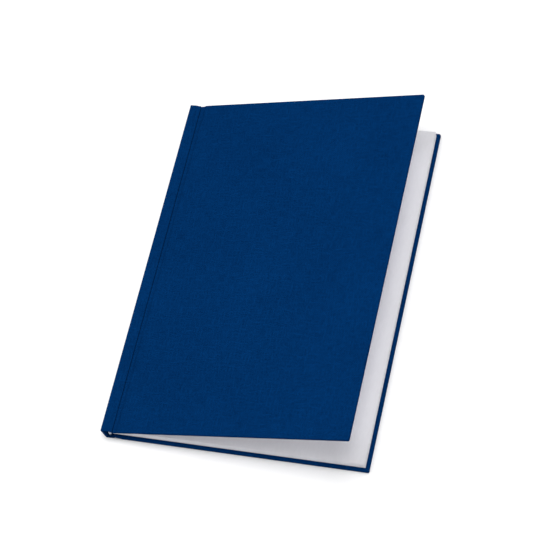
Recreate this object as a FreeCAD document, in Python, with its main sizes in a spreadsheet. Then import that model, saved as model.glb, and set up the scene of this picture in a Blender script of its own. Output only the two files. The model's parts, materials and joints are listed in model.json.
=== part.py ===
import FreeCAD, Part
import math
import os
import Sketcher

# A case-bound logbook: six sewn signatures of paper between two cloth-covered boards.
# It lies on its back cover with the front cover lifted a little.
# X runs from the spine to the fore-edge, Y from tail to head, Z up from the back cover.
# Lengths are millimetres, angles are degrees.

SIZES = [
    ("page_width", 147.0, "leaf, from its fold to the trimmed fore-edge"),
    ("page_height", 210.0, "leaf, tail to head"),
    ("fore_square", 2.13, "cover beyond the leaves at the fore-edge"),
    ("head_square", 2.0, "cover beyond the leaves at head and at tail"),
    ("paper", 0.1, "thickness of a leaf"),
    ("endpaper", 0.12, "thickness of an endpaper"),
    ("board", 1.4, "thickness of a cover board"),
    ("cloth", 0.3, "thickness of the book cloth"),
    ("turn_in", 15.0, "width of cloth turned over the board's inside"),
    ("inlay", 0.7, "thickness of the card strip in the spine"),
    ("hollow", 0.5, "gap between spine card and spine liner"),
    ("liner", 0.12, "thickness of the paper glued on the spine"),
    ("mull", 0.25, "thickness of the gauze glued on the folds"),
    ("mull_reach", 25.0, "width of the gauze flap glued on each board"),
    ("paste_margin", 3.0, "turned-in cloth left showing around the pastedown"),
    ("hinge_reach", 5.8, "spine's outer face to the hinge line"),
    ("joint_gap", 4.6, "hinge line to the edge of the board"),
    ("spine_margin", 0.45, "spine strip short of the outer face of each cover"),
    ("leaf_step", 1.4, "hinge of the next leaf beyond that of the endpaper"),
    ("leaf_clearance", 0.08, "room for a leaf to turn beside its glued strip"),
    ("band_depth", 1.3, "headband, along the length of the spine"),
    ("band_width", 1.6, "headband, across its bead"),
    ("thread_width", 0.6, "width of one stitch of thread"),
    ("thread_thick", 0.12, "thickness of the flattened thread, sunk in the gauze"),
    ("stitch_inset", 12.0, "outermost stitch from the head or tail of the leaves"),
    ("open_angle", 13.8, "front cover lifted from closed"),
    ("lean_ratio", 0.5, "lean of the spine for each degree of the front cover"),
    ("flyleaf_ratio", 0.96, "turn of the front flyleaf for each degree of the cover"),
    ("first_leaf_ratio", 0.93, "turn of the first leaf for each degree of the cover"),
]
SIGNATURES = 6
SHEETS_IN_SIGNATURE = 4
STITCH_ROWS = 6
OVERSHOOT = 1.0              # how far a cutting box runs past what it cuts
SHOULDER_SHARE = 0.76        # flat top of the shoulder, as a share of the way to the hinge line
SHOULDER_PLAY = 0.05         # cloth of the shoulder above the card strip's edge
SKETCH_START = [(10, -50), (90, -50), (90, 50), (10, 50)]    # corners before the sizes are applied
LEAST_CUT = 1e-6             # volume that a pocket must take away at the very least

doc = FreeCAD.newDocument("logbook")
sizes = doc.addObject("Spreadsheet::Sheet", "Sizes")
for row, (alias, value, meaning) in enumerate(SIZES, start=1):
    sizes.set("A%d" % row, alias)
    sizes.set("B%d" % row, str(value))
    sizes.set("C%d" % row, meaning)
    sizes.setAlias("B%d" % row, alias)
doc.recompute()


def size(alias):
    """A driving dimension as a plain number."""
    return float(sizes.get(alias))


def expr(text):
    """An expression in which each name in braces reads its cell."""
    for alias, _, _ in SIZES:
        text = text.replace("{" + alias + "}", "Sizes." + alias)
    return text


# Derived places, written once and reused in every expression.
COVER_HEIGHT = "({page_height} + 2 * {head_square})"
BLOCK_X = "({cloth} + {inlay} + {hollow} + {liner} + {mull})"
PAGE_END = "(%s + {page_width})" % BLOCK_X
COVER_WIDTH = "(%s + {fore_square})" % PAGE_END
COVER_THICK = "(2 * {cloth} + {board} + {endpaper})"
SIGNATURE_THICK = "(%d * {paper})" % (2 * SHEETS_IN_SIGNATURE)
BLOCK_THICK = "(%d * %s)" % (SIGNATURES, SIGNATURE_THICK)
BLOCK_BASE = "(%s + {endpaper})" % COVER_THICK
BLOCK_TOP = "(%s + %s)" % (BLOCK_BASE, BLOCK_THICK)
FRONT_HINGE_Z = "(%s + {endpaper})" % BLOCK_TOP
CLOSED_THICK = "(%s + %s)" % (FRONT_HINGE_Z, COVER_THICK)
SPINE_RISE = "(%s - 2 * {spine_margin})" % CLOSED_THICK
SPINE_LEAN = "({open_angle} * {lean_ratio})"
CENTRE_X = "((%s - %s * sin(%s)) / 2)" % (COVER_WIDTH, SPINE_RISE, SPINE_LEAN)
LEAF_HINGE = "({hinge_reach} + {leaf_step})"


def place(piece, along_x, up, tilt=None):
    """Put a piece's own origin at a distance from the spine and a height, tilted about the Y axis."""
    if tilt is not None:
        piece.Placement = FreeCAD.Placement(
            FreeCAD.Vector(), FreeCAD.Rotation(FreeCAD.Vector(0, -1, 0), 1.0))
        piece.setExpression("Placement.Rotation.Angle", expr(tilt))
    piece.setExpression("Placement.Base.x", expr("(%s) - %s" % (along_x, CENTRE_X)))
    piece.setExpression("Placement.Base.z", expr(up))


def place_on_front_cover(piece):
    """Turn a piece of a cover over, onto the top of the block, and lift it by the open angle."""
    half_turn = FreeCAD.Rotation(FreeCAD.Vector(1, 0, 0), 180)
    piece.Placement = FreeCAD.Placement(FreeCAD.Vector(), half_turn)
    lift = "sin({open_angle}) * %s" % COVER_THICK
    rise = "cos({open_angle}) * %s" % COVER_THICK
    piece.setExpression("Placement.Rotation.Axis.x", expr("cos({open_angle} / 2)"))
    piece.setExpression("Placement.Rotation.Axis.z", expr("sin({open_angle} / 2)"))
    piece.setExpression("Placement.Base.x", expr("{hinge_reach} - %s - %s" % (lift, CENTRE_X)))
    piece.setExpression("Placement.Base.z", expr("%s + %s" % (FRONT_HINGE_Z, rise)))


def place_on_back_cover(piece):
    place(piece, "{hinge_reach}", "0")


def new_body(label):
    body = doc.addObject("PartDesign::Body", label)
    body.Label = label
    return body


def rectangle(body, level, left, right, span):
    """A rectangle parallel to the leaves: left to right from the origin, span centred on it."""
    sketch = body.newObject("Sketcher::SketchObject", body.Label + "_sketch")
    plane = [item for item in body.Origin.OriginFeatures if item.Role == "XY_Plane"][0]
    sketch.AttachmentSupport = [(plane, "")]
    sketch.MapMode = "FlatFace"
    sketch.setExpression("AttachmentOffset.Base.z", expr(level))
    for index, start in enumerate(SKETCH_START):
        end = SKETCH_START[(index + 1) % 4]
        sketch.addGeometry(Part.LineSegment(FreeCAD.Vector(*start), FreeCAD.Vector(*end)))
    for side in range(4):
        sketch.addConstraint(Sketcher.Constraint("Coincident", side, 2, (side + 1) % 4, 1))
    sketch.addConstraint(Sketcher.Constraint("Horizontal", 0))
    sketch.addConstraint(Sketcher.Constraint("Horizontal", 2))
    sketch.addConstraint(Sketcher.Constraint("Vertical", 3))
    sketch.addConstraint(Sketcher.Constraint("Symmetric", 1, 1, 1, 2, -1))
    start_left, start_near = SKETCH_START[0]
    start_right, start_far = SKETCH_START[2]
    bound = [
        (Sketcher.Constraint("DistanceX", -1, 1, 0, 1, start_left), left),
        (Sketcher.Constraint("DistanceX", -1, 1, 1, 1, start_right), right),
        (Sketcher.Constraint("DistanceY", 1, 1, 1, 2, start_far - start_near), span),
    ]
    for constraint, value in bound:
        number = sketch.addConstraint(constraint)
        sketch.setExpression("Constraints[%d]" % number, expr(value))
    return sketch


def pad(body, sketch, thickness):
    feature = body.newObject("PartDesign::Pad", body.Label + "_pad")
    feature.Profile = sketch
    feature.setExpression("Length", expr(thickness))
    doc.recompute()
    return feature


def pocket(body, sketch, depth):
    """Cut downwards from the sketch, and make sure that something was cut."""
    doc.recompute()
    before = body.Tip.Shape.Volume
    feature = body.newObject("PartDesign::Pocket", body.Label + "_pocket")
    feature.Profile = sketch
    feature.setExpression("Length", expr(depth))
    doc.recompute()
    if feature.Shape.Volume > before - LEAST_CUT:
        raise RuntimeError("pocket of %s cuts nothing" % body.Label)
    return feature


def plate(label, left, right, span, thickness, level="0"):
    """A flat sheet as a padded rectangle in its own frame."""
    body = new_body(label)
    pad(body, rectangle(body, level, left, right, span), thickness)
    return body


def box(label, left, right, near, far, low, high):
    """A box between six places in the book's frame, measured from the spine and the middle."""
    solid = doc.addObject("Part::Box", label)
    solid.setExpression("Length", expr("%s - (%s)" % (right, left)))
    solid.setExpression("Width", expr("%s - (%s)" % (far, near)))
    solid.setExpression("Height", expr("%s - (%s)" % (high, low)))
    solid.setExpression("Placement.Base.x", expr(left))
    solid.setExpression("Placement.Base.y", expr(near))
    solid.setExpression("Placement.Base.z", expr(low))
    return solid


def cut(label, base, *tools):
    """The base with each tool taken out in turn."""
    solid = base
    for number, tool in enumerate(tools):
        last = number == len(tools) - 1
        step = doc.addObject("Part::Cut", label if last else "%s_step%d" % (label, number))
        step.Base = solid
        step.Tool = tool
        solid = step
    solid.Label = label
    return solid


def group(label, members):
    """Several separate solids that are one kind of piece."""
    compound = doc.addObject("Part::Compound", label)
    compound.Links = members
    compound.Label = label
    return compound


# ---- The two covers. Both are built lying outer face down, from the hinge line outwards. ----

EDGE = "(%s - {hinge_reach})" % COVER_WIDTH
INNER_FACE = "(2 * {cloth} + {board})"


def cover_board(label):
    """The greyboard, inside its wrap of cloth."""
    return plate(label, "{joint_gap}", EDGE + " - {cloth}", COVER_HEIGHT + " - 2 * {cloth}",
                 "{board}", level="{cloth}")


def cover_cloth(label):
    """Cloth over the outer face, round three edges and turned in over the inner face."""
    body = new_body(label)
    pad(body, rectangle(body, "0", "{joint_gap}", EDGE, COVER_HEIGHT), INNER_FACE)
    window = rectangle(body, INNER_FACE, "{joint_gap}", EDGE + " - {turn_in}",
                       COVER_HEIGHT + " - 2 * {turn_in}")
    pocket(body, window, "{cloth}")
    room = rectangle(body, "{cloth} + {board}", "{joint_gap}", EDGE + " - {cloth}",
                     COVER_HEIGHT + " - 2 * {cloth}")
    pocket(body, room, "{board}")
    return body


def mull_flap(label):
    """Gauze glued on the inside of the board, between the turned-in cloth at head and tail."""
    return plate(label, "{joint_gap}", "{joint_gap} + {mull_reach}",
                 COVER_HEIGHT + " - 2 * {turn_in}", "{cloth}", level="{cloth} + {board}")


def pastedown(label):
    """The endpaper glued on the board: it steps up over the cloth and the gauze around it."""
    body = new_body(label)
    start = "{joint_gap}"
    end = EDGE + " - {paste_margin}"
    pad(body, rectangle(body, "{cloth} + {board}", start, end,
                        COVER_HEIGHT + " - 2 * {paste_margin}"), "{cloth} + {endpaper}")
    inset = "{joint_gap} + {mull_reach} + {endpaper}"
    inset_end = EDGE + " - {turn_in} - {endpaper}"
    hollow_face = rectangle(body, COVER_THICK, inset, inset_end,
                            COVER_HEIGHT + " - 2 * ({turn_in} + {endpaper})")
    pocket(body, hollow_face, "{cloth}")
    return body


def trim_pastedown(label, body):
    """Take away the underside of the raised border, where cloth and gauze lie."""
    low, high = "{cloth} + {board}", INNER_FACE
    half = "(%s / 2)" % COVER_HEIGHT
    border = box(label + "_border", "{joint_gap} - %g" % OVERSHOOT, EDGE, "-" + half, half, low, high)
    middle = box(label + "_middle", "{joint_gap} + {mull_reach}", EDGE + " - {turn_in}",
                 "-%s + {turn_in}" % half, "%s - {turn_in}" % half, low, high)
    frame = cut(label + "_frame", border, middle)
    body.Label = label + "_sheet"
    return cut(label, body, frame)


def build_cover(side, place_piece):
    place_piece(cover_board(side + "_board"))
    place_piece(cover_cloth(side + "_cover_cloth"))
    place_piece(mull_flap(side + "_mull_flap"))
    sheet = pastedown(side + "_pastedown_sheet")
    place_piece(trim_pastedown(side + "_pastedown", sheet))


build_cover("back", place_on_back_cover)
build_cover("front", place_on_front_cover)


# ---- The text block: nested folded sheets, one signature above another. ----


def folded_solid(name, base, nesting):
    """Everything inside the fold of one sheet: a slab with a round fold at the spine."""
    fold_centre = "(%s + %s / 2)" % (BLOCK_X, SIGNATURE_THICK)
    low = "%s + %d * {paper}" % (base, nesting)
    high = "%s + %s - %d * {paper}" % (base, SIGNATURE_THICK, nesting)
    half = "({page_height} / 2)"
    slab = box(name + "_slab", fold_centre, PAGE_END, "-" + half, half, low, high)
    fold = doc.addObject("Part::Cylinder", name + "_fold")
    fold.Placement = FreeCAD.Placement(
        FreeCAD.Vector(), FreeCAD.Rotation(FreeCAD.Vector(1, 0, 0), 90))
    fold.setExpression("Radius", expr("(%s) / 2 - %d * {paper}" % (SIGNATURE_THICK, nesting)))
    fold.setExpression("Height", expr("{page_height}"))
    fold.setExpression("Placement.Base.x", expr(fold_centre))
    fold.setExpression("Placement.Base.y", expr(half))
    fold.setExpression("Placement.Base.z", expr("%s + %s / 2" % (base, SIGNATURE_THICK)))
    solid = doc.addObject("Part::Fuse", name)
    solid.Base = slab
    solid.Tool = fold
    return solid


def signature(number):
    """One folded section. Number 1 is under the front cover."""
    label = "signature_%d" % number
    base = "(%s + %d * %s)" % (BLOCK_BASE, SIGNATURES - number, SIGNATURE_THICK)
    nested = [folded_solid("%s_inside_%d" % (label, nesting), base, nesting)
              for nesting in range(SHEETS_IN_SIGNATURE)]
    sheets = []
    for nesting in range(SHEETS_IN_SIGNATURE - 1):
        tools = [nested[nesting + 1]]
        if nesting == 0 and number == 1:
            tools.append(turning_leaf_room(label, "%s + %s - {paper}" % (base, SIGNATURE_THICK),
                                           "%s + %s" % (base, SIGNATURE_THICK)))
        if nesting == 0 and number == SIGNATURES:
            tools.append(turning_leaf_room(label, base, base + " + {paper}"))
        sheets.append(cut("%s_sheet_%d" % (label, nesting + 1), nested[nesting], *tools))
    sheets.append(nested[-1])
    place(group(label, sheets), "0", "0")


def turning_leaf_room(label, low, high):
    """The part of an outer sheet that is a leaf of its own, free to turn."""
    half = "({page_height} / 2 + %g)" % OVERSHOOT
    fore_end = "%s + %g" % (PAGE_END, OVERSHOOT)
    return box(label + "_leaf_room", LEAF_HINGE, fore_end, "-" + half, half, low, high)


for signature_number in range(1, SIGNATURES + 1):
    signature(signature_number)


# ---- Endpapers and the leaves that turn. ----


def glued_strip(label, low):
    """The edge of an endpaper, tipped onto the signature beside it."""
    half = "({page_height} / 2)"
    strip = box(label + "_strip", "%s + %s / 2" % (BLOCK_X, SIGNATURE_THICK), "{hinge_reach}",
                "-" + half, half, low, "%s + {endpaper}" % low)
    place(group(label, [strip]), "0", "0")


def turning_leaf(label, hinge, outer_face, thickness, level, tilt=None):
    """A leaf in its own frame: the hinge line at the origin, along the face next to the cover."""
    leaf = plate(label, "{leaf_clearance}", "%s - %s" % (PAGE_END, hinge), "{page_height}",
                 thickness, level)
    place(leaf, hinge, outer_face, tilt)


glued_strip("front_endpaper_fold", BLOCK_TOP)
glued_strip("back_endpaper_fold", COVER_THICK)
turning_leaf("front_flyleaf", "{hinge_reach}", FRONT_HINGE_Z, "{endpaper}", "-{endpaper}",
             "{open_angle} * {flyleaf_ratio}")
turning_leaf("first_leaf", LEAF_HINGE, BLOCK_TOP, "{paper}", "-{paper}",
             "{open_angle} * {first_leaf_ratio}")
turning_leaf("back_flyleaf", "{hinge_reach}", COVER_THICK, "{endpaper}", "0")
turning_leaf("last_leaf", LEAF_HINGE, BLOCK_BASE, "{paper}", "0")


# ---- What holds the folds together: thread, gauze, liner and headbands. ----


def stitches():
    """Thread lying across the folds, in rows along the spine."""
    spacing = "(({page_height} - 2 * {stitch_inset}) / %d)" % (STITCH_ROWS - 1)
    rows = []
    for number in range(STITCH_ROWS):
        middle = "(%d * %s + {stitch_inset} - {page_height} / 2)" % (number, spacing)
        rows.append(box("stitch_%d" % (number + 1), BLOCK_X + " - {thread_thick}", BLOCK_X,
                        middle + " - {thread_width} / 2", middle + " + {thread_width} / 2",
                        BLOCK_BASE, BLOCK_TOP))
    return rows


def headband(label, sign):
    """A rolled band that covers the end of the folds."""
    bead = doc.addObject("Part::Cylinder", label + "_bead")
    bead.setExpression("Radius", expr("{band_width} / 2"))
    bead.setExpression("Height", expr(BLOCK_THICK))
    bead.setExpression("Placement.Base.x", expr(BLOCK_X + " + {band_width} / 2"))
    bead.setExpression("Placement.Base.y", expr("%d * {page_height} / 2" % sign))
    bead.setExpression("Placement.Base.z", expr(BLOCK_BASE))
    near, far = ("0", "{band_depth}") if sign > 0 else ("-{band_depth}", "0")
    edge = "%d * {page_height} / 2 + " % sign
    window = box(label + "_window", BLOCK_X, BLOCK_X + " + {band_width}", edge + near, edge + far,
                 BLOCK_BASE, BLOCK_TOP)
    band = doc.addObject("Part::Common", label)
    band.Base = bead
    band.Tool = window
    band.Label = label
    place(band, "0", "0")


thread_rows = stitches()
mull_half = "(%s / 2 - {turn_in})" % COVER_HEIGHT
gauze = box("spine_gauze", BLOCK_X + " - {mull}", BLOCK_X, "-" + mull_half, mull_half,
            BLOCK_BASE, BLOCK_TOP)
place(cut("spine_mull", gauze, *thread_rows), "0", "0")
place(group("sewing_thread", thread_rows), "0", "0")
paper_strip = box("liner_strip", BLOCK_X + " - {mull} - {liner}", BLOCK_X + " - {mull}",
                  "-{page_height} / 2", "{page_height} / 2", BLOCK_BASE, BLOCK_TOP)
place(group("spine_liner", [paper_strip]), "0", "0")
headband("headband_head", 1)
headband("headband_tail", -1)


# ---- The spine strip of the case: card in a wrap of cloth, leaning about its lower edge. ----

HALF_HEIGHT = "(%s / 2)" % COVER_HEIGHT
CARD_HALF = "(%s - {cloth})" % HALF_HEIGHT
BELOW_STRIP = "-%g" % OVERSHOOT
ABOVE_STRIP = "%s + %g" % (SPINE_RISE, OVERSHOOT)
wrap = box("spine_wrap", "0", "2 * {cloth} + {inlay}", "-" + HALF_HEIGHT, HALF_HEIGHT,
           "0", SPINE_RISE)
card_room = box("spine_card_room", "{cloth}", "{cloth} + {inlay}", "-" + CARD_HALF, CARD_HALF,
                BELOW_STRIP, ABOVE_STRIP)
open_back = box("spine_open_back", "{cloth} + {inlay}", "2 * {cloth} + {inlay} + %g" % OVERSHOOT,
                "-%s + {turn_in}" % HALF_HEIGHT, "%s - {turn_in}" % HALF_HEIGHT,
                BELOW_STRIP, ABOVE_STRIP)
place(cut("spine_cloth", wrap, card_room, open_back), "0", "{spine_margin}", SPINE_LEAN)
card = box("spine_card", "{cloth}", "{cloth} + {inlay}", "-" + CARD_HALF, CARD_HALF,
           "0", SPINE_RISE)
place(group("spine_inlay", [card]), "0", "{spine_margin}", SPINE_LEAN)


# ---- The cloth that bends at the two grooves. ----


def turned(point, pivot, degrees):
    """A point turned about a pivot, from +X towards +Z."""
    angle = math.radians(degrees)
    along, up = point[0] - pivot[0], point[1] - pivot[1]
    return (pivot[0] + along * math.cos(angle) - up * math.sin(angle),
            pivot[1] + along * math.sin(angle) + up * math.cos(angle))


def thickened(outer, thickness):
    """The other face of a bent strip: the line moved sideways, with mitred bends."""
    inner = []
    for index, point in enumerate(outer):
        before = outer[max(index - 1, 0)]
        after = outer[min(index + 1, len(outer) - 1)]
        arriving = (point[0] - before[0], point[1] - before[1])
        leaving = (after[0] - point[0], after[1] - point[1])
        if index == 0:
            arriving = leaving
        if index == len(outer) - 1:
            leaving = arriving
        first = math.atan2(arriving[1], arriving[0])
        second = math.atan2(leaving[1], leaving[0])
        turn = math.atan2(math.sin(second - first), math.cos(second - first))
        heading = first + turn / 2
        reach = thickness / math.cos(turn / 2)
        inner.append((point[0] + reach * math.sin(heading), point[1] - reach * math.cos(heading)))
    return inner


def bent_cloth(label, outer, thickness, half_length, centre):
    outline = outer + thickened(outer, thickness)[::-1]
    points = [FreeCAD.Vector(along - centre, -half_length, up) for along, up in outline]
    face = Part.Face(Part.makePolygon(points + points[:1]))
    piece = doc.addObject("Part::Feature", label)
    piece.Shape = face.extrude(FreeCAD.Vector(0, 2 * half_length, 0))
    piece.Label = label


cloth = size("cloth")
cover_thick = 2 * cloth + size("board") + size("endpaper")
block_x = cloth + size("inlay") + size("hollow") + size("liner") + size("mull")
block_thick = SIGNATURES * 2 * SHEETS_IN_SIGNATURE * size("paper")
front_hinge_z = cover_thick + block_thick + 2 * size("endpaper")
closed_thick = front_hinge_z + cover_thick
cover_width = block_x + size("page_width") + size("fore_square")
spine_margin = size("spine_margin")
spine_rise = closed_thick - 2 * spine_margin
lean = size("open_angle") * size("lean_ratio")
centre_x = (cover_width - spine_rise * math.sin(math.radians(lean))) / 2
half_height = size("page_height") / 2 + size("head_square")
hinge_x = size("hinge_reach")
board_x = hinge_x + size("joint_gap")

# Each strip leaves the spine's edge, makes the shoulder, dips into the groove and climbs the board.
shoulder_end = SHOULDER_SHARE * hinge_x
groove_skin = cloth + size("endpaper")
spine_foot = (0.0, spine_margin)
front_pivot = (hinge_x, front_hinge_z)

shoulder_top = closed_thick + SHOULDER_PLAY
front_line = [
    turned((0.0, spine_margin + spine_rise), spine_foot, lean),
    turned((0.0, shoulder_top), spine_foot, lean),
    (shoulder_end, shoulder_top),
    (hinge_x, front_hinge_z + groove_skin),
    turned((board_x - cloth, front_hinge_z + groove_skin), front_pivot, size("open_angle")),
    turned((board_x - cloth, closed_thick), front_pivot, size("open_angle")),
]
bent_cloth("joint_cloth_front", front_line, cloth, half_height, centre_x)

back_line = [
    (board_x - cloth, 0.0),
    (board_x - cloth, cover_thick - groove_skin),
    (hinge_x, cover_thick - groove_skin),
    (shoulder_end, SHOULDER_PLAY),
    (0.0, SHOULDER_PLAY),
    spine_foot,
]
bent_cloth("joint_cloth_back", back_line, cloth, half_height, centre_x)


# ---- Check and write every piece. ----

NODES = (
    ["back_board", "back_cover_cloth", "back_mull_flap", "back_pastedown",
     "front_board", "front_cover_cloth", "front_mull_flap", "front_pastedown",
     "front_endpaper_fold", "back_endpaper_fold", "front_flyleaf", "first_leaf",
     "back_flyleaf", "last_leaf", "spine_mull", "sewing_thread", "spine_liner",
     "headband_head", "headband_tail", "spine_cloth", "spine_inlay",
     "joint_cloth_front", "joint_cloth_back"]
    + ["signature_%d" % number for number in range(1, SIGNATURES + 1)]
)

doc.recompute()
for item in doc.Objects:
    if "Invalid" in item.State or "Error" in item.State:
        raise RuntimeError("%s is %s" % (item.Label, item.State))

os.makedirs("parts", exist_ok=True)
for label in NODES:
    shape = doc.getObjectsByLabel(label)[0].Shape
    if shape.isNull() or not shape.isValid():
        raise RuntimeError("%s has no valid shape" % label)
    print("%-22s %2d solids %10.1f mm3" % (label, len(shape.Solids), shape.Volume))
    shape.exportStep("parts/%s.step" % label)
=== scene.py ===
import bpy
import bmesh
import math
import random
from mathutils import Vector, Matrix
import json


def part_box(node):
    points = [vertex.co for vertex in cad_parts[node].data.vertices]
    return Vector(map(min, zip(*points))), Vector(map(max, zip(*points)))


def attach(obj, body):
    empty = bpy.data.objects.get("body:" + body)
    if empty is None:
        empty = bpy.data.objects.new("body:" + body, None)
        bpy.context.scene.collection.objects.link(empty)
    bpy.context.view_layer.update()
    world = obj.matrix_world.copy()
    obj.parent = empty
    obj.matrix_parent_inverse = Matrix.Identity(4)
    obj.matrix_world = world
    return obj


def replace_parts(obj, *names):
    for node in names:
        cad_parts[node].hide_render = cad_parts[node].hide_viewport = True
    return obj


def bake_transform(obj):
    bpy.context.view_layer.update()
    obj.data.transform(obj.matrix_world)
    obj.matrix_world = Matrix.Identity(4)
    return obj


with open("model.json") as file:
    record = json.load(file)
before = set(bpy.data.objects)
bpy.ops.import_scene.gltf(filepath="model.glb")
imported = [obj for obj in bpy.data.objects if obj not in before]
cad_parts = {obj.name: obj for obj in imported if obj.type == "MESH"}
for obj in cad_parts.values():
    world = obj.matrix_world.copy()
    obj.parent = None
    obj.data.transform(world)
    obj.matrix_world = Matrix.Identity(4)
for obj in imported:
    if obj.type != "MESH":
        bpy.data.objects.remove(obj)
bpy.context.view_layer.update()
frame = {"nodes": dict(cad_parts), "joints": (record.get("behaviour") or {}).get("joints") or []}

MM = 0.001
JOINTS = {joint["name"]: joint for joint in frame["joints"]}
random.seed(7)

# ---- Places, read from the frame. Everything is in metres in the book's own frame. ----

back_low, back_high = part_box("back_cover_cloth")
block_low, block_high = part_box("signature_3")
stack_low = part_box("signature_6")[0]
stack_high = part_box("signature_1")[1]
front_hinge = Vector(JOINTS["front_cover_open"]["pos_m"])
back_hinge = Vector(JOINTS["back_cover_open"]["pos_m"])
spine_pivot = Vector(JOINTS["spine_lean"]["pos_m"])
leaf_hinge_x = JOINTS["first_leaf_turn"]["pos_m"][0]

open_angle = math.radians(-JOINTS["front_cover_open"]["range_deg"][0])
lean_angle = math.radians(-JOINTS["spine_lean"]["range_deg"][0])
flyleaf_angle = math.radians(-JOINTS["front_flyleaf_turn"]["range_deg"][0])
first_leaf_angle = math.radians(-JOINTS["first_leaf_turn"]["range_deg"][0])

COVER_REACH = back_high.x - back_hinge.x
BOARD_START = back_low.x - back_hinge.x
HALF_HEIGHT = back_high.y
COVER_THICK = back_hinge.z - back_low.z
CLOSED_THICK = front_hinge.z + COVER_THICK
SPINE_X = spine_pivot.x
PAGE_HALF = block_high.y
FOLD_X = block_low.x

CLOTH = 0.24 * MM           # these four are thicknesses
PAPER = 0.085 * MM
LEAF_PAPER = 0.1 * MM
ENDPAPER = 0.12 * MM
TURN_IN = 15 * MM
PASTE_MARGIN = 3 * MM
EDGE_ROUND = 0.5 * MM
MOST_ROUND = 0.45           # of the height of an edge
CORNER_ROUND = 0.9 * MM
CLOTH_WAVE = 0.03 * MM      # unevenness of the cloth over a board
GROOVE_SKIN = 0.14 * MM     # outer face of the cloth above the hinge plane, at the seam of a groove
BEND_START = 0.0            # the cloth turns with the cover between these two reaches
BEND_END = 0.2 * MM
CASE_ROWS = 52              # even steps from tail to head
CORNER_STEPS = 5


# ---- Small tools for numbers and meshes. ----


def smooth(value, low, high):
    """0 before low, 1 after high, an even ease between them."""
    share = min(max((value - low) / (high - low), 0.0), 1.0)
    return share * share * (3 - 2 * share)


def turned(point, pivot, angle):
    """A point turned about a line along Y through the pivot, from +X towards +Z."""
    along, up = point.x - pivot.x, point.z - pivot.z
    return Vector((pivot.x + along * math.cos(angle) - up * math.sin(angle), point.y,
                   pivot.z + along * math.sin(angle) + up * math.cos(angle)))


def steps(low, high, count):
    """Even places from low to high, with count gaps between them."""
    return [low + (high - low) * index / count for index in range(count + 1)]


def ripple(x, y, size, seed):
    """A slow, shallow wave over a surface, from a few sines."""
    first = math.sin(x * 41 + seed) * math.cos(y * 29 + 2.1 * seed)
    second = math.sin(x * 83 - 1.7 * seed + y * 57)
    return size * (0.6 * first + 0.4 * second)


def build_mesh(name, rows, uv_rows, material, flip=False):
    """A sheet of quads through rows of points, with its flat coordinates as UVs.

    flip turns its faces the other way, so that thicken() adds the thickness on the other side.
    """
    mesh = bpy.data.meshes.new(name)
    grid = bmesh.new()
    uv_layer = grid.loops.layers.uv.new("flat")
    made = [[grid.verts.new(point) for point in row] for row in rows]
    flat = {}
    for row, uvs in zip(made, uv_rows):
        for vert, uv in zip(row, uvs):
            flat[vert] = uv
    for index in range(len(made) - 1):
        for column in range(len(made[index]) - 1):
            corners = [made[index][column], made[index][column + 1],
                       made[index + 1][column + 1], made[index + 1][column]]
            if flip:
                corners.reverse()
            face = grid.faces.new(corners)
            face.smooth = True
            for loop in face.loops:
                loop[uv_layer].uv = flat[loop.vert]
    bmesh.ops.remove_doubles(grid, verts=grid.verts, dist=1e-7)
    grid.to_mesh(mesh)
    grid.free()
    piece = bpy.data.objects.new(name, mesh)
    bpy.context.scene.collection.objects.link(piece)
    mesh.materials.append(material)
    return piece


def thicken(piece, thickness, offset=-1.0):
    """Real thickness, added behind the modelled face, or half on either side with an offset of 0."""
    solid = piece.modifiers.new("thickness", "SOLIDIFY")
    solid.thickness = thickness
    solid.offset = offset
    solid.use_even_offset = False


# ---- Materials. ----


class Nodes:
    """A new material's node tree, with short ways to add and join nodes."""

    def __init__(self, name, colour, roughness):
        self.material = bpy.data.materials.new(name)
        self.material.use_nodes = True
        self.tree = self.material.node_tree
        self.shader = self.tree.nodes["Principled BSDF"]
        self.shader.inputs["Base Color"].default_value = (*colour, 1)
        self.shader.inputs["Roughness"].default_value = roughness

    def add(self, kind, **settings):
        node = self.tree.nodes.new(kind)
        for key, value in settings.items():
            setattr(node, key, value)
        return node

    def join(self, output, target):
        self.tree.links.new(output, target)

    def math(self, operation, first, second=None):
        node = self.add("ShaderNodeMath", operation=operation)
        for socket, value in zip(node.inputs, (first, second)):
            if value is None:
                continue
            if isinstance(value, (int, float)):
                socket.default_value = value
            else:
                self.join(value, socket)
        return node.outputs[0]

    def noise(self, vector, scale, detail=3.0, stretch=(1, 1, 1)):
        mapping = self.add("ShaderNodeMapping")
        mapping.inputs["Scale"].default_value = stretch
        self.join(vector, mapping.inputs["Vector"])
        texture = self.add("ShaderNodeTexNoise")
        texture.inputs["Scale"].default_value = scale
        texture.inputs["Detail"].default_value = detail
        self.join(mapping.outputs[0], texture.inputs["Vector"])
        return texture.outputs["Fac"]

    def mix(self, factor, first, second):
        node = self.add("ShaderNodeMix", data_type="RGBA")
        self.join(factor, node.inputs["Factor"])
        for socket, value in ((node.inputs["A"], first), (node.inputs["B"], second)):
            if isinstance(value, tuple):
                socket.default_value = (*value, 1)
            else:
                self.join(value, socket)
        return node.outputs["Result"]

    def span(self, value, low, high, to_low=0.0, to_high=1.0):
        node = self.add("ShaderNodeMapRange")
        for socket, number in zip(list(node.inputs)[1:5], (low, high, to_low, to_high)):
            socket.default_value = number
        self.join(value, node.inputs["Value"])
        return node.outputs["Result"]

    def bump(self, height, strength, distance):
        node = self.add("ShaderNodeBump")
        node.inputs["Strength"].default_value = strength
        node.inputs["Distance"].default_value = distance
        self.join(height, node.inputs["Height"])
        self.join(node.outputs["Normal"], self.shader.inputs["Normal"])

    def coords(self, flat):
        source = self.add("ShaderNodeTexCoord")
        return source.outputs["UV" if flat else "Object"]

    def split(self, vector):
        node = self.add("ShaderNodeSeparateXYZ")
        self.join(vector, node.inputs[0])
        return node.outputs


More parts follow.
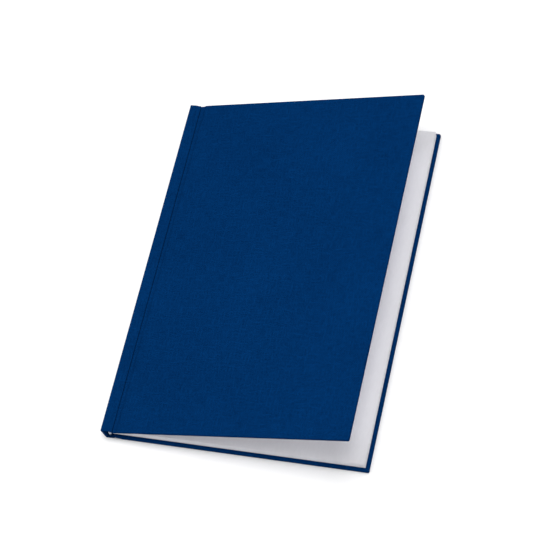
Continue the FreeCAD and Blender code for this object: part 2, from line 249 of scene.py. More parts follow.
def sine_wave(nodes, value, length):
    """A wave from -1 to 1 that repeats after some length."""
    return nodes.math("SINE", nodes.math("MULTIPLY", value, 2 * math.pi / length))


def weave_height(nodes, vector, pitch):
    """Plain weave: warp and weft threads that pass over each other in turn."""
    across, along = nodes.split(vector)[0:2]
    warp = sine_wave(nodes, across, pitch)
    weft = sine_wave(nodes, along, pitch)
    over = sine_wave(nodes, across, 2 * pitch)
    under = sine_wave(nodes, along, 2 * pitch)
    crossing = nodes.math("MULTIPLY", over, under)
    threads = nodes.math("MAXIMUM", nodes.math("MULTIPLY", warp, crossing),
                         nodes.math("MULTIPLY", weft, crossing))
    return nodes.math("ADD", threads, nodes.math("MULTIPLY", crossing, 0.6))


THREAD_PITCH = 0.52 * MM
SPECKLE_SCALE, SLUB_SCALE, DYE_SCALE = 1500, 900, 22      # of the noise, in cells per metre
ALONG_X, ALONG_Y = (0.16, 1.0, 1.0), (1.0, 0.16, 1.0)     # stretch of a slub


def cloth_material(name, dark, light, flat):
    """Matt book cloth: fine weave, uneven dye and slubs in the thread, and a little painted shade in the
    low places of the weave.
    """
    nodes = Nodes(name, dark, 0.82)
    place = nodes.coords(flat)
    weave = weave_height(nodes, place, THREAD_PITCH)
    speckle = nodes.noise(place, SPECKLE_SCALE, 2.0)
    slubs = nodes.noise(place, SLUB_SCALE, 2.0, ALONG_Y)
    cross_slubs = nodes.noise(place, SLUB_SCALE, 2.0, ALONG_X)
    clouds = nodes.noise(place, DYE_SCALE, 3.0)
    grain = nodes.math("ADD", nodes.math("MULTIPLY", speckle, 0.6),
                       nodes.math("MULTIPLY", nodes.math("MAXIMUM", slubs, cross_slubs), 0.4))
    # The weave's height lightens the threads on top and darkens the hollows between them a little:
    # painted shade, added to the random grain.
    grain_and_weave_shade = nodes.math("ADD", grain, nodes.math("MULTIPLY", weave, 0.10))
    uneven_dye = nodes.math("MULTIPLY", nodes.math("SUBTRACT", clouds, 0.5), 0.12)
    shade = nodes.math("ADD", grain_and_weave_shade, uneven_dye)
    nodes.join(nodes.mix(nodes.span(shade, 0.3, 0.78), dark, light), nodes.shader.inputs["Base Color"])
    nodes.join(nodes.span(speckle, 0.3, 0.7, 0.74, 0.92), nodes.shader.inputs["Roughness"])
    nodes.shader.inputs["Specular IOR Level"].default_value = 0.0
    height = nodes.math("ADD", weave, nodes.math("MULTIPLY", grain, 1.5))
    nodes.bump(height, 0.55, 0.09 * MM)
    return nodes.material


FIBRE_SCALE, TINT_SCALE, PULP_SCALE = 700, 35, 600
FIBRE_STRETCH = (1.0, 0.35, 1.0)


def paper_material(name, colour, shadow, flat, ruled=False):
    """Uncoated paper with fibres; the ruled kind has the lines of a log table and no lettering."""
    nodes = Nodes(name, colour, 0.88)
    place = nodes.coords(flat)
    fibres = nodes.noise(place, FIBRE_SCALE, 4.0, FIBRE_STRETCH)
    clouds = nodes.noise(place, TINT_SCALE, 3.0)
    blotch = nodes.math("ADD", nodes.math("MULTIPLY", fibres, 0.5), nodes.math("MULTIPLY", clouds, 0.5))
    tone = nodes.mix(nodes.span(blotch, 0.35, 0.65), shadow, colour)
    if ruled:
        tone = nodes.mix(ruling(nodes, place), tone, RULE_INK)
    nodes.join(tone, nodes.shader.inputs["Base Color"])
    nodes.join(nodes.span(fibres, 0.3, 0.7, 0.84, 0.95), nodes.shader.inputs["Roughness"])
    nodes.shader.inputs["Specular IOR Level"].default_value = 0.25
    nodes.bump(fibres, 0.25, 0.03 * MM)
    return nodes.material


RULE_INK = (0.11, 0.21, 0.43)
RULE_STRENGTH = 0.85
ROW_PITCH = 7 * MM
RULE_WIDTH = 0.3 * MM
COLUMN_PITCH = 13.5 * MM
TABLE_LEFT, TABLE_RIGHT = 16 * MM, 121.5 * MM
TABLE_BOTTOM, TABLE_TOP = -77 * MM, 84 * MM


def stripe(nodes, value, pitch, width):
    """1 on a line of some width at each multiple of the pitch."""
    share = nodes.math("PINGPONG", value, pitch / 2)
    return nodes.math("LESS_THAN", share, width / 2)


def ruling(nodes, place):
    """Rows and columns of a table, inside the margins."""
    across, along = nodes.split(place)[0:2]
    lines = nodes.math("MAXIMUM", stripe(nodes, along, ROW_PITCH, RULE_WIDTH),
                       stripe(nodes, across, COLUMN_PITCH, RULE_WIDTH))
    inside = nodes.math("MULTIPLY", nodes.math("GREATER_THAN", across, TABLE_LEFT - RULE_WIDTH),
                        nodes.math("LESS_THAN", across, TABLE_RIGHT + RULE_WIDTH))
    upright = nodes.math("MULTIPLY", nodes.math("GREATER_THAN", along, TABLE_BOTTOM - RULE_WIDTH),
                         nodes.math("LESS_THAN", along, TABLE_TOP + RULE_WIDTH))
    table = nodes.math("MULTIPLY", lines, nodes.math("MULTIPLY", inside, upright))
    return nodes.math("MULTIPLY", table, RULE_STRENGTH)


def board_material(name, dark, light):
    """Grey board with pulp flecks."""
    nodes = Nodes(name, light, 0.9)
    place = nodes.coords(False)
    pulp = nodes.noise(place, PULP_SCALE, 5.0)
    nodes.join(nodes.mix(nodes.span(pulp, 0.35, 0.65), dark, light), nodes.shader.inputs["Base Color"])
    nodes.bump(pulp, 0.3, 0.06 * MM)
    return nodes.material


GAUZE_PITCH = 0.9 * MM
TWIST_PITCH = 0.5 * MM
BAR_PITCH = 0.8 * MM
BAND_THREAD_PITCH = 0.2 * MM


def gauze_material(name, colour):
    """Open, starched gauze, darker in the low places of its weave as painted shade. Its weave faces
    along X, as on the spine; pastedowns hide the flaps.
    """
    nodes = Nodes(name, colour, 0.9)
    place = nodes.coords(False)
    mapping = nodes.add("ShaderNodeMapping")
    mapping.inputs["Rotation"].default_value = (0, math.pi / 2, 0)
    nodes.join(place, mapping.inputs["Vector"])
    weave = weave_height(nodes, mapping.outputs[0], GAUZE_PITCH)
    # dark is painted shade for the hollows between the threads, mixed in by the weave's height.
    dark = tuple(0.55 * channel for channel in colour)
    nodes.join(nodes.mix(nodes.span(weave, -0.4, 0.8), dark, colour), nodes.shader.inputs["Base Color"])
    nodes.bump(weave, 0.7, 0.12 * MM)
    return nodes.material


def thread_material(name, colour):
    """Twisted thread, darker in the troughs of the twist as painted shade."""
    nodes = Nodes(name, colour, 0.7)
    place = nodes.coords(False)
    along, up = nodes.split(place)[1:3]
    twist = sine_wave(nodes, nodes.math("ADD", along, up), TWIST_PITCH)
    # dark is painted shade for the troughs of the twist, mixed in by the same wave as the bump.
    dark = tuple(0.7 * channel for channel in colour)
    nodes.join(nodes.mix(nodes.span(twist, -1, 1), dark, colour), nodes.shader.inputs["Base Color"])
    nodes.bump(twist, 0.5, 0.05 * MM)
    return nodes.material


def headband_material(name, first, second):
    """Woven band in two colours, in bars across the bead."""
    nodes = Nodes(name, first, 0.75)
    place = nodes.coords(False)
    up = nodes.split(place)[2]
    bars = sine_wave(nodes, up, BAR_PITCH)
    threads = sine_wave(nodes, up, BAND_THREAD_PITCH)
    nodes.join(nodes.mix(nodes.span(bars, -0.3, 0.3), first, second), nodes.shader.inputs["Base Color"])
    nodes.bump(threads, 0.6, 0.05 * MM)
    return nodes.material


NAVY_DARK = (0.0002, 0.0100, 0.046)
NAVY_LIGHT = (0.0012, 0.0385, 0.156)
CLOTH_FLAT = cloth_material("book_cloth", NAVY_DARK, NAVY_LIGHT, flat=True)
WHITE = (0.89, 0.885, 0.93)
WHITE_SHADE = (0.85, 0.845, 0.89)
PAGE_RULED = paper_material("page_paper_ruled", WHITE, WHITE_SHADE, flat=True, ruled=True)
END_WHITE = (0.85, 0.85, 0.88)
END_SHADE = (0.80, 0.80, 0.84)
END_PAPER = paper_material("endpaper", END_WHITE, END_SHADE, flat=True)
END_STRIP = paper_material("endpaper_strip", END_WHITE, END_SHADE, flat=False)
LINER = paper_material("liner_paper", (0.42, 0.29, 0.17), (0.34, 0.23, 0.13), flat=False)
BOARD = board_material("grey_board", (0.22, 0.20, 0.18), (0.40, 0.38, 0.34))
CARD = board_material("spine_card", (0.34, 0.31, 0.27), (0.50, 0.47, 0.42))
GAUZE = gauze_material("mull_gauze", (0.72, 0.70, 0.62))
THREAD = thread_material("sewing_thread", (0.80, 0.78, 0.70))
BAND = headband_material("headband", (0.72, 0.75, 0.82), (0.35, 0.42, 0.58))

NODE_MATERIALS = {
    "front_board": BOARD, "back_board": BOARD, "spine_inlay": CARD,
    "front_mull_flap": GAUZE, "back_mull_flap": GAUZE, "spine_mull": GAUZE,
    "spine_liner": LINER, "sewing_thread": THREAD,
    "front_endpaper_fold": END_STRIP, "back_endpaper_fold": END_STRIP,
}
for node, material in NODE_MATERIALS.items():
    data = frame["nodes"][node].data
    data.materials.clear()
    data.materials.append(material)


# ---- The case: cloth over the covers. ----

CREASE_FOOT = 0.22 * MM     # reach where the crease beside the spine starts to rise
CREASE_LIP = 0.46 * MM
VALLEY_HEIGHT = 1.36 * MM   # height of the groove's soft valley above the hinge plane
VALLEY_END = 1.9 * MM
RISE_BEFORE_BOARD = 0.3 * MM
INNER_HEIGHT = ENDPAPER     # height of the turned-in cloth above the hinge plane
LEAST_FOLD = 0.16 * MM      # between the outer face and the turned-in cloth, where the groove is thin
GRID_INSET = 1.4 * MM       # the even grid ends this far in from the outline
RIM_INSET = 0.9 * MM
ARC_DEGREES = (0, 30, 60, 90)
TURN_IN_RINGS = (1 * MM, 3 * MM, 8 * MM, TURN_IN)
WELD = 2e-6
LIP_STEPS = (0.05 * MM, 0.15 * MM)
GROOVE_COLUMNS, GROOVE_PAST_EDGE = 22, 1.2 * MM
BOARD_COLUMNS, BOARD_STEP = 34, 1.5 * MM


def outer_height(reach):
    """The cloth's outer face above the hinge plane: a narrow crease, a soft valley, the board."""
    lip = smooth(reach, CREASE_FOOT, CREASE_LIP)
    valley = GROOVE_SKIN + (VALLEY_HEIGHT - GROOVE_SKIN) * lip
    rise = smooth(reach, VALLEY_END, BOARD_START - RISE_BEFORE_BOARD)
    return valley * (1 - rise) + COVER_THICK * rise


def rim_rings():
    """Rings of places round the free edges, from the grid over the edge and in: (kind, inset, angle)."""
    rings = [("outer", GRID_INSET, 0), ("outer", RIM_INSET, 0)]
    for kind in ("top", "low"):
        rings += [(kind, None, math.radians(degrees)) for degrees in ARC_DEGREES]
    return rings + [("inner", inset, 0) for inset in TURN_IN_RINGS]


def ring_point(ring, high, low):
    """A point of one ring between an outer and an inner height: its inset and its height."""
    kind, inset, angle = ring
    curve = min(EDGE_ROUND, MOST_ROUND * (high - low))
    if kind == "outer":
        return inset, high
    if kind == "top":
        return curve * (1 - math.sin(angle)), high - curve * (1 - math.cos(angle))
    if kind == "low":
        return curve * (1 - math.cos(angle)), low + curve * (1 - math.sin(angle))
    return inset, low


def cover_outline():
    """Places round the three free edges of a cover: (side, reach or y, corner angle)."""
    columns = cover_columns()
    rows = cover_rows()
    places = [("tail", reach, 0.0) for reach in columns]
    places += [("tail_corner", 0.0, angle) for angle in steps(0, math.pi / 2, CORNER_STEPS)]
    places += [("fore", y, 0.0) for y in rows]
    places += [("head_corner", 0.0, angle) for angle in steps(0, math.pi / 2, CORNER_STEPS)]
    places += [("head", reach, 0.0) for reach in reversed(columns)]
    return places


def cover_columns():
    """Places from the hinge outwards: close in the crease and the groove, wider over the board."""
    groove = steps(0, BEND_END, 2) + steps(CREASE_FOOT, CREASE_LIP, 3) + [CREASE_LIP + LIP_STEPS[0]]
    groove += steps(CREASE_LIP + LIP_STEPS[1], BOARD_START + GROOVE_PAST_EDGE, GROOVE_COLUMNS)
    return groove + steps(groove[-1] + BOARD_STEP, COVER_REACH - GRID_INSET, BOARD_COLUMNS)


def cover_rows():
    """Even places from tail to head."""
    return steps(-HALF_HEIGHT + GRID_INSET, HALF_HEIGHT - GRID_INSET, CASE_ROWS)


def outline_point(place, inset):
    """Where a place on the outline comes when it is moved inwards."""
    side, value, angle = place
    reach_limit, y_limit = COVER_REACH - inset, HALF_HEIGHT - inset
    if side == "tail":
        return min(value, reach_limit), -y_limit
    if side == "head":
        return min(value, reach_limit), y_limit
    if side == "fore":
        return reach_limit, max(-y_limit, min(value, y_limit))
    radius = max(CORNER_ROUND - inset, 0.0)
    middle = max(CORNER_ROUND, inset)
    swing = angle if side == "head_corner" else math.pi / 2 - angle
    sign = 1 if side == "head_corner" else -1
    return (COVER_REACH - middle + radius * math.cos(swing),
            sign * (HALF_HEIGHT - middle + radius * math.sin(swing)))


def cover_cloth(name, to_world, material, flip):
    """Cloth across the groove and the board, round its edges and turned in."""
    columns, rows = cover_columns(), cover_rows()
    mesh = bpy.data.meshes.new(name)
    grid = bmesh.new()
    uv_layer = grid.loops.layers.uv.new("flat")
    flat = {}

    def vertex(reach, y, height, flat_reach, flat_y):
        vert = grid.verts.new(to_world(reach, y, height))
        flat[vert] = (flat_reach, flat_y)
        return vert

    def face(corners):
        if flip:
            corners = corners[::-1]
        made = grid.faces.new(corners)
        made.smooth = True
        for loop in made.loops:
            loop[uv_layer].uv = flat[loop.vert]

    panel = []
    for reach in columns:
        height = outer_height(reach)
        panel.append([vertex(reach, y, height + ripple(reach, y, CLOTH_WAVE, 1.0), reach, y)
                      for y in rows])
    for left, right in zip(panel, panel[1:]):
        for index in range(len(rows) - 1):
            face([left[index], right[index], right[index + 1], left[index + 1]])

    outline = cover_outline()
    rings = []
    for ring in rim_rings():
        made = []
        for place in outline:
            near_reach = outline_point(place, 0)[0]
            high = outer_height(near_reach)
            inset, height = ring_point(ring, high, min(INNER_HEIGHT, high - LEAST_FOLD))
            reach, y = outline_point(place, inset)
            if ring[0] == "outer":
                height += ripple(reach, y, CLOTH_WAVE, 1.0)
            made.append(vertex(reach, y, height, reach + height, y + height))
        rings.append(made)
    for outer, inner in zip(rings, rings[1:]):
        for index in range(len(outline) - 1):
            face([outer[index], inner[index], inner[index + 1], outer[index + 1]])
    bmesh.ops.remove_doubles(grid, verts=grid.verts, dist=WELD)
    bmesh.ops.dissolve_degenerate(grid, edges=grid.edges, dist=WELD / 2)
    grid.to_mesh(mesh)
    grid.free()
    piece = bpy.data.objects.new(name, mesh)
    bpy.context.scene.collection.objects.link(piece)
    mesh.materials.append(material)
    thicken(piece, CLOTH)
    return piece


def bend_share(reach):
    """How far the cloth at some reach turns with its cover, from 0 to 1."""
    return smooth(reach, BEND_START, BEND_END)


def front_world(reach, y, height):
    """A point of the front cover, lifted about its hinge by the open angle."""
    closed = Vector((front_hinge.x + reach, y, front_hinge.z + height))
    return turned(closed, front_hinge, open_angle * bend_share(reach))


def back_world(reach, y, height):
    """A point of the back cover, which lies flat under the book."""
    return Vector((back_hinge.x + reach, y, back_hinge.z - height))


front_cloth = cover_cloth("cover_cloth_front", front_world, CLOTH_FLAT, flip=False)
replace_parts(front_cloth, "front_cover_cloth", "joint_cloth_front")
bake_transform(front_cloth)

back_cloth = cover_cloth("cover_cloth_back", back_world, CLOTH_FLAT, flip=True)
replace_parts(back_cloth, "back_cover_cloth", "joint_cloth_back")
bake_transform(back_cloth)


# ---- The case: cloth round the spine, in two halves that meet half way up the spine. ----

SPINE_ROUND = 0.5 * MM
SHOULDER_SLOPE = 0.05
SHOULDER_FALL = 0.78 * MM       # how far the front shoulder falls towards the crease
FALL_START = 3.4 * MM           # and where: these places too are from the hinge towards the spine
FALL_END = 0.2 * MM
SHOULDER_PLACES = (0.40, 0.46, 0.58, 0.8, 1.1, 1.5, 2.0, 2.6, 3.3, 4.1, 5.0, 5.9)       # mm
BACK_SHOULDER_END = 4.4 * MM
BACK_SHOULDER_EDGE = 0.7 * MM
BACK_SHOULDER_DROP = 0.22 * MM
BACK_EDGE_SHARES = (0.0, 0.35, 0.7, 1.0)
BACK_FLAT_PLACES = (3.2, 2.3, 1.4, 0.9)     # mm from the spine
BEND_SLANT = 0.5                # the strip's foot bends; the back groove, further in, does not
STRIP_BEND_LOW = 0.15 * MM
STRIP_BEND_HIGH = 0.85 * MM
STRIP_DEPTH = 1.25 * MM         # from the outer face to the turned-in cloth, past the card
SHOULDER_DEPTH = 0.5 * MM
GROOVE_DEPTH = 0.2 * MM
END_FOLD = 0.35 * MM
MOST_LIFT = 0.3                 # of the depth of the turned-in cloth
DEEPER_FROM = 0.7               # radians round the edge, where the cloth begins to go round the card
HALF_THICK = CLOSED_THICK / 2
GROOVE_X = front_hinge.x - SPINE_X


def round_edge():
    """The closed strip, from its rounded edge to its middle: (from spine, from middle, depth)."""
    line = []
    for angle in steps(0, math.pi / 2, CORNER_STEPS):
        deeper = smooth(angle, DEEPER_FROM, math.pi / 2)
        depth = SHOULDER_DEPTH + (STRIP_DEPTH - SHOULDER_DEPTH) * deeper
        line.append((SPINE_ROUND * (1 - math.sin(angle)),
                     HALF_THICK - SPINE_ROUND * (1 - math.cos(angle)), depth))
    for height in steps(HALF_THICK - SPINE_ROUND - 0.3 * MM, 0, 4):
        line.append((0.0, height, STRIP_DEPTH))
    return line


def front_section():
    """At rest: the groove's crease, the shoulder's soft fall, then the leaning strip: (x, z, depth)."""
    strip = []
    for along, height, depth in round_edge():
        place = turned(Vector((SPINE_X + along, 0, HALF_THICK + height)), spine_pivot, lean_angle)
        strip.append((place.x, place.z, depth))
    edge_x, edge_z = strip[0][:2]
    line = [(front_hinge.x, front_hinge.z + GROOVE_SKIN, GROOVE_DEPTH)]
    for back in SHOULDER_PLACES:
        x = front_hinge.x - back * MM
        crown = edge_z + SHOULDER_SLOPE * (x - edge_x)
        fall = SHOULDER_FALL * (1 - smooth(back * MM, FALL_END, FALL_START))
        line.append((x, crown - fall, SHOULDER_DEPTH))
    return line + strip


def back_section():
    """At rest: under the book the cloth is flat, and only the strip leans about its foot."""
    closed = [(GROOVE_X, front_hinge.z + GROOVE_SKIN - HALF_THICK, GROOVE_DEPTH)]
    for share in BACK_EDGE_SHARES:
        drop = BACK_SHOULDER_DROP * (1 - share) ** 2
        along = BACK_SHOULDER_END - BACK_SHOULDER_EDGE * share
        closed.append((along, HALF_THICK - drop, SHOULDER_DEPTH))
    closed += [(along * MM, HALF_THICK, SHOULDER_DEPTH) for along in BACK_FLAT_PLACES]
    line = []
    for along, height, depth in closed + round_edge():
        up_the_strip = HALF_THICK - height - BEND_SLANT * along
        angle = lean_angle * smooth(up_the_strip, STRIP_BEND_LOW, STRIP_BEND_HIGH)
        place = turned(Vector((SPINE_X + along, 0, HALF_THICK - height)), spine_pivot, angle)
        line.append((place.x, place.z, depth))
    return line


def end_stations(sign):
    """From the turned-in edge, round the fold, to the outer face: (y, depth share, lift)."""
    made = [(inset, 1.0, 0.0) for inset in (TURN_IN, 8 * MM, 2 * MM, END_FOLD)]
    angles = (math.pi / 6, math.pi / 3, math.pi / 2)
    made += [(END_FOLD * (1 - math.sin(angle)), 1.0, END_FOLD * (1 - math.cos(angle)))
             for angle in angles]
    made += [(END_FOLD * (1 - math.cos(angle)), 0.0, -END_FOLD * (1 - math.sin(angle)))
             for angle in (0.0,) + angles]
    return [(sign * (HALF_HEIGHT - inset), share, lift) for inset, share, lift in made]


def spine_cloth(name, section, outward):
    """Cloth from a groove over the shoulder to the middle of the spine, turned in at head and tail."""
    normals, lengths = [], [0.0]
    for index, (x, z, _) in enumerate(section):
        before = section[max(index - 1, 0)]
        after = section[min(index + 1, len(section) - 1)]
        heading = Vector((after[0] - before[0], after[1] - before[1])).normalized()
        normals.append(Vector((heading.y, -heading.x)) * outward)
        if index:
            lengths.append(lengths[-1] + math.dist((x, z), section[index - 1][:2]))
    middle = [(y, 0.0, 0.0) for y in cover_rows()]
    stations = end_stations(-1) + middle + end_stations(1)[::-1]
    rows, uv_rows = [], []
    for y, depth_share, lift in stations:
        row, uvs = [], []
        for (x, z, depth), normal, length in zip(section, normals, lengths):
            inward = depth - min(lift, MOST_LIFT * depth) if depth_share else -lift
            row.append(Vector((x - normal.x * inward, y, z - normal.y * inward)))
            uvs.append((length, y + math.copysign(depth * depth_share, y)))
        rows.append(row)
        uv_rows.append(uvs)
    piece = build_mesh(name, rows, uv_rows, CLOTH_FLAT, flip=outward > 0)
    thicken(piece, CLOTH)
    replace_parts(piece, "spine_cloth")
    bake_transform(piece)


spine_cloth("cover_cloth_spine_front", front_section(), 1)
spine_cloth("cover_cloth_spine_back", back_section(), -1)


# ---- Pastedowns. ----

STEP_DEPTH = 0.3 * MM       # how far the paper sinks past the turned-in cloth and the gauze
STEP_SLOPE = 1.6 * MM
STEP_SHARES = (-0.2, 0, 0.25, 0.5, 0.75, 1.0, 1.2)
MULL_REACH = 25 * MM
PASTE_PAPER = 0.1 * MM
PASTE_START = 0.1 * MM
PASTE_COLUMN, PASTE_ROW = 4 * MM, 5 * MM
GROOVE_MARKS = (1 * MM, 2.2 * MM)
LEAST_STEP = 0.1 * MM


def pastedown_height(reach, y):
    """The paper sinks where neither turned-in cloth nor gauze lies under it."""
    from_fore = (COVER_REACH - TURN_IN) - reach
    from_ends = (HALF_HEIGHT - TURN_IN) - abs(y)
    from_mull = reach - (BOARD_START + MULL_REACH)
    inside = min(from_fore, from_ends, from_mull)
    return STEP_DEPTH * smooth(inside, 0.0, STEP_SLOPE)


def spaced(low, high, coarse, marks):
    """Even places between two ends, with closer ones round each mark."""
    count = max(2, round((high - low) / coarse))
    places = steps(low, high, count)
    for mark in marks:
        places += [mark + share * STEP_SLOPE for share in STEP_SHARES]
    kept = []
    for value in sorted(value for value in places if low <= value <= high):
        if not kept or value - kept[-1] > LEAST_STEP:
            kept.append(value)
    return kept


def pastedown(name, to_world, flip):
    """The endpaper leaf that is glued over board, gauze and turned-in cloth."""
    marks = [*GROOVE_MARKS, BOARD_START + MULL_REACH, COVER_REACH - TURN_IN - STEP_SLOPE]
    columns = spaced(PASTE_START, COVER_REACH - PASTE_MARGIN, PASTE_COLUMN, marks)
    edge = HALF_HEIGHT - TURN_IN
    rows = spaced(-HALF_HEIGHT + PASTE_MARGIN, HALF_HEIGHT - PASTE_MARGIN, PASTE_ROW,
                  [-edge, edge - STEP_SLOPE])
    grid, uvs = [], []
    for reach in columns:
        grid.append([to_world(reach, y, pastedown_height(reach, y)) for y in rows])
        uvs.append([(reach, y) for y in rows])
    piece = build_mesh(name, grid, uvs, END_PAPER, flip=flip)
    thicken(piece, PASTE_PAPER)
    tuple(to_world(BEND_START, 0, 0))
    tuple(to_world(BEND_END, 0, 0))
    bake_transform(piece)
    return piece


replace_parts(pastedown("pastedown_paper_front", front_world, False), "front_pastedown")
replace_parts(pastedown("pastedown_paper_back", back_world, True), "back_pastedown")


# ---- The leaves. ----

LEAF_START = 0.08 * MM      # from a leaf's hinge to its drawn edge
LEAF_COLUMNS, LEAF_ROWS = 36, 24
DRAWN_SHARE = 0.9           # of a leaf's thickness, which leaves a gap on either side


def leaf(name, body, node, hinge, angle, sign, thickness, material):
    """A leaf that turns. sign is -1 where it hangs under its hinge plane and 1 where it lies on it."""
    columns = steps(LEAF_START, block_high.x - hinge.x, LEAF_COLUMNS)
    height = sign * (thickness * 0.5)
    rows = steps(-PAGE_HALF, PAGE_HALF, LEAF_ROWS)
    grid, uvs = [], []
    for reach in columns:
        line = []
        for y in rows:
            point = Vector((hinge.x + reach, y, hinge.z + height))
            line.append(turned(point, hinge, angle))
        grid.append(line)
        uvs.append([(reach, y) for y in rows])
    piece = build_mesh(name, grid, uvs, material)
    thicken(piece, thickness * DRAWN_SHARE, 0.0)
    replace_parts(piece, node)
    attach(piece, body)


front_leaf_hinge = Vector(JOINTS["front_flyleaf_turn"]["pos_m"])
first_leaf_hinge = Vector(JOINTS["first_leaf_turn"]["pos_m"])
back_leaf_hinge = Vector(JOINTS["back_flyleaf_turn"]["pos_m"])
last_leaf_hinge = Vector(JOINTS["last_leaf_turn"]["pos_m"])
leaf("flyleaf_front", "front_flyleaf", "front_flyleaf", front_leaf_hinge, flyleaf_angle, -1,
     ENDPAPER, END_PAPER)
leaf("leaf_first", "first_leaf", "first_leaf", first_leaf_hinge, first_leaf_angle, -1,
     LEAF_PAPER, PAGE_RULED)
leaf("flyleaf_back", "back_flyleaf", "back_flyleaf", back_leaf_hinge, 0.0, 1,
     ENDPAPER, END_PAPER)
leaf("leaf_last", "last_leaf", "last_leaf", last_leaf_hinge, 0.0, 1,
     LEAF_PAPER, PAGE_RULED)

SIGNATURES = 6
SHEETS = 4
LEAF_PITCH = (stack_high.z - stack_low.z) / (SIGNATURES * 2 * SHEETS)
SHEET_COLUMNS, SHEET_ROWS, FOLD_STEPS = 14, 10, 8
TRIM_AT_FORE_EDGE = (-0.07, 0.02)   # mm, shortest and longest
SHIFT_AT_ENDS = (-0.05, 0.03)


def folded_sheet(base, nesting, number):
    """One folded sheet of a signature: (x, z) places from leaf to leaf, unevenly trimmed.

    The block's first and last leaf turn as pieces of their own, so those sheets stop at the hinge.
    """
    top = base + (2 * SHEETS - nesting - 0.5) * LEAF_PITCH
    low = base + (nesting + 0.5) * LEAF_PITCH
    middle = (top + low) / 2
    centre_x = FOLD_X + SHEETS * LEAF_PITCH
    radius = (top - low) / 2
    trim = [random.uniform(*TRIM_AT_FORE_EDGE) * MM for _ in range(2)]
    upper_end = block_high.x + trim[0]
    lower_end = block_high.x + trim[1]
    if nesting == 0 and number == 1:
        upper_end = leaf_hinge_x
    if nesting == 0 and number == SIGNATURES:
        lower_end = leaf_hinge_x
    path = [(x, top) for x in steps(upper_end, centre_x, SHEET_COLUMNS)]
    path += [(centre_x - radius * math.sin(a), middle + radius * math.cos(a))
             for a in steps(0, math.pi, FOLD_STEPS)[1:-1]]
    path += [(x, low) for x in steps(centre_x, lower_end, SHEET_COLUMNS)]
    return path


def signature(number):
    """Four nested sheets, each one a thin sheet with a rounded fold."""
    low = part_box("signature_%d" % number)[0].z
    name = "leaves_%d" % number
    mesh = bpy.data.meshes.new(name)
    grid = bmesh.new()
    uv_layer = grid.loops.layers.uv.new("flat")
    rows_y = steps(-PAGE_HALF, PAGE_HALF, SHEET_ROWS)
    for nesting in range(SHEETS):
        path = folded_sheet(low, nesting, number)
        shift = random.uniform(*SHIFT_AT_ENDS) * MM
        made = []
        for x, z in path:
            line = []
            for index, y in enumerate(rows_y):
                end = index in (0, len(rows_y) - 1)
                line.append(grid.verts.new((x, y + (shift if end else 0.0), z)))
            made.append(line)
        for left, right in zip(made, made[1:]):
            for index in range(len(rows_y) - 1):
                face = grid.faces.new([left[index], left[index + 1],
                                       right[index + 1], right[index]])
                face.smooth = True
                for loop in face.loops:
                    loop[uv_layer].uv = (loop.vert.co.x - first_leaf_hinge.x, loop.vert.co.y)
    grid.to_mesh(mesh)
    grid.free()
    piece = bpy.data.objects.new(name, mesh)
    bpy.context.scene.collection.objects.link(piece)
    mesh.materials.append(PAGE_RULED)
    thicken(piece, PAPER, 0.0)
    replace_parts(piece, "signature_%d" % number)
    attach(piece, "text_block")


for signature_number in range(1, SIGNATURES + 1):
    signature(signature_number)


# ---- Headbands. ----

BAND_THICK = 0.3 * MM
BAND_ROWS, BAND_ARC_STEPS = 16, 10


def headband(name, node):
    """A rolled bead across the end of the folds."""
    low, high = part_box(node)
    outward = 1 if low.y > 0 else -1
    base_y = low.y if outward > 0 else high.y
    radius = (high.x - low.x) / 2
    reach = min(radius, high.y - low.y)
    rows, uvs = [], []
    for z in steps(low.z, high.z, BAND_ROWS):
        line, flat_line = [], []
        for angle in steps(0, math.pi, BAND_ARC_STEPS):
            x = low.x + radius * (1 - math.cos(angle))
            y = base_y + outward * reach * math.sin(angle)
            line.append((x, y, z))
            flat_line.append((angle * radius, z))
        rows.append(line)
        uvs.append(flat_line)
    piece = build_mesh(name, rows, uvs, BAND, flip=outward > 0)
    thicken(piece, BAND_THICK)
    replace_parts(piece, node)
    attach(piece, "text_block")


headband("band_head", "headband_head")
headband("band_tail", "headband_tail")


# ---- Floor, light and camera. ----

FLOOR_HALF = 6.0
FLOOR_DROP = 0.02 * MM
CAMERA_AZIMUTH, CAMERA_ELEVATION, CAMERA_ROLL = 31.53, 60.07, -21.56    # degrees
CAMERA_DISTANCE = 1.1396
CAMERA_TARGET = Vector((0.00154, 0.00214, 0))
CAMERA_LENS, SENSOR_WIDTH = 128.44, 36      # mm
CAMERA_SIGHT = 20           # metres that the camera sees
LIGHT_DISTANCE, LIGHT_SIZE, LIGHT_POWER = 1.6, 1.2, 25.5        # metres, metres, watts
ROOM_BRIGHTNESS = 0.44


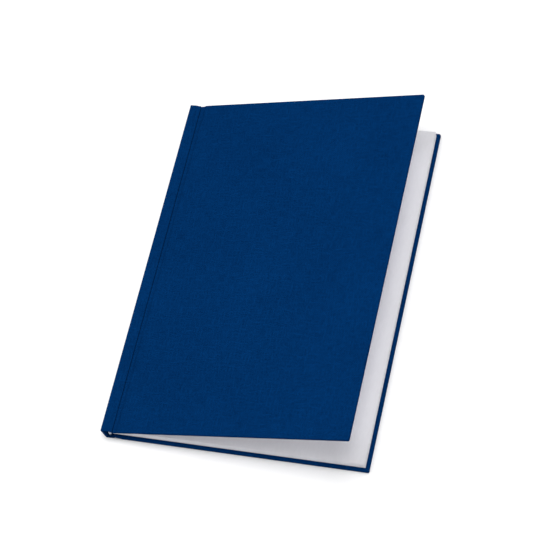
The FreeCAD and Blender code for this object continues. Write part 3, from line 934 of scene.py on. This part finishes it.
def floor():
    """A plain white table top, just under the book."""
    nodes = Nodes("floor", (0.93, 0.93, 0.93), 0.9)
    mesh = bpy.data.meshes.new("floor")
    corners = [(-FLOOR_HALF, -FLOOR_HALF, 0), (FLOOR_HALF, -FLOOR_HALF, 0),
               (FLOOR_HALF, FLOOR_HALF, 0), (-FLOOR_HALF, FLOOR_HALF, 0)]
    mesh.from_pydata(corners, [], [(0, 1, 2, 3)])
    piece = bpy.data.objects.new("floor", mesh)
    bpy.context.scene.collection.objects.link(piece)
    mesh.materials.append(nodes.material)
    piece.location.z = -FLOOR_DROP


def camera():
    """The photograph's view, from a camera that looks at the target and is rolled about its own axis."""
    azimuth, elevation = math.radians(CAMERA_AZIMUTH), math.radians(CAMERA_ELEVATION)
    roll = math.radians(CAMERA_ROLL)
    back = Vector((math.sin(azimuth) * math.cos(elevation), -math.cos(azimuth) * math.cos(elevation),
                   math.sin(elevation)))
    level = Vector((0, 0, 1)).cross(back).normalized()
    up = back.cross(level)
    right = math.cos(roll) * level + math.sin(roll) * up
    top = back.cross(right)
    data = bpy.data.cameras.new("camera")
    data.lens = CAMERA_LENS
    data.sensor_width = SENSOR_WIDTH
    data.clip_end = CAMERA_SIGHT
    viewer = bpy.data.objects.new("camera", data)
    bpy.context.scene.collection.objects.link(viewer)
    rotation = Matrix((right, top, back)).transposed()
    place = CAMERA_TARGET + CAMERA_DISTANCE * back
    viewer.matrix_world = Matrix.Translation(place) @ rotation.to_4x4()
    bpy.context.scene.camera = viewer


def softbox(name, direction, distance, size, power):
    """A square area light that faces the book."""
    data = bpy.data.lights.new(name, "AREA")
    data.shape = "SQUARE"
    data.size = size
    data.energy = power
    lamp = bpy.data.objects.new(name, data)
    bpy.context.scene.collection.objects.link(lamp)
    lamp.location = direction.normalized() * distance
    lamp.rotation_euler = direction.to_track_quat("Z", "Y").to_euler()


def surroundings(brightness):
    """Even white light from all round."""
    world = bpy.data.worlds.new("studio")
    world.use_nodes = True
    background = world.node_tree.nodes["Background"]
    background.inputs["Color"].default_value = (1, 1, 1, 1)
    background.inputs["Strength"].default_value = brightness
    bpy.context.scene.world = world


floor()
camera()
softbox("key", Vector((0.03, 0.02, 1)), LIGHT_DISTANCE, LIGHT_SIZE, LIGHT_POWER)
surroundings(ROOM_BRIGHTNESS)
bpy.context.scene.view_settings.view_transform = "Standard"
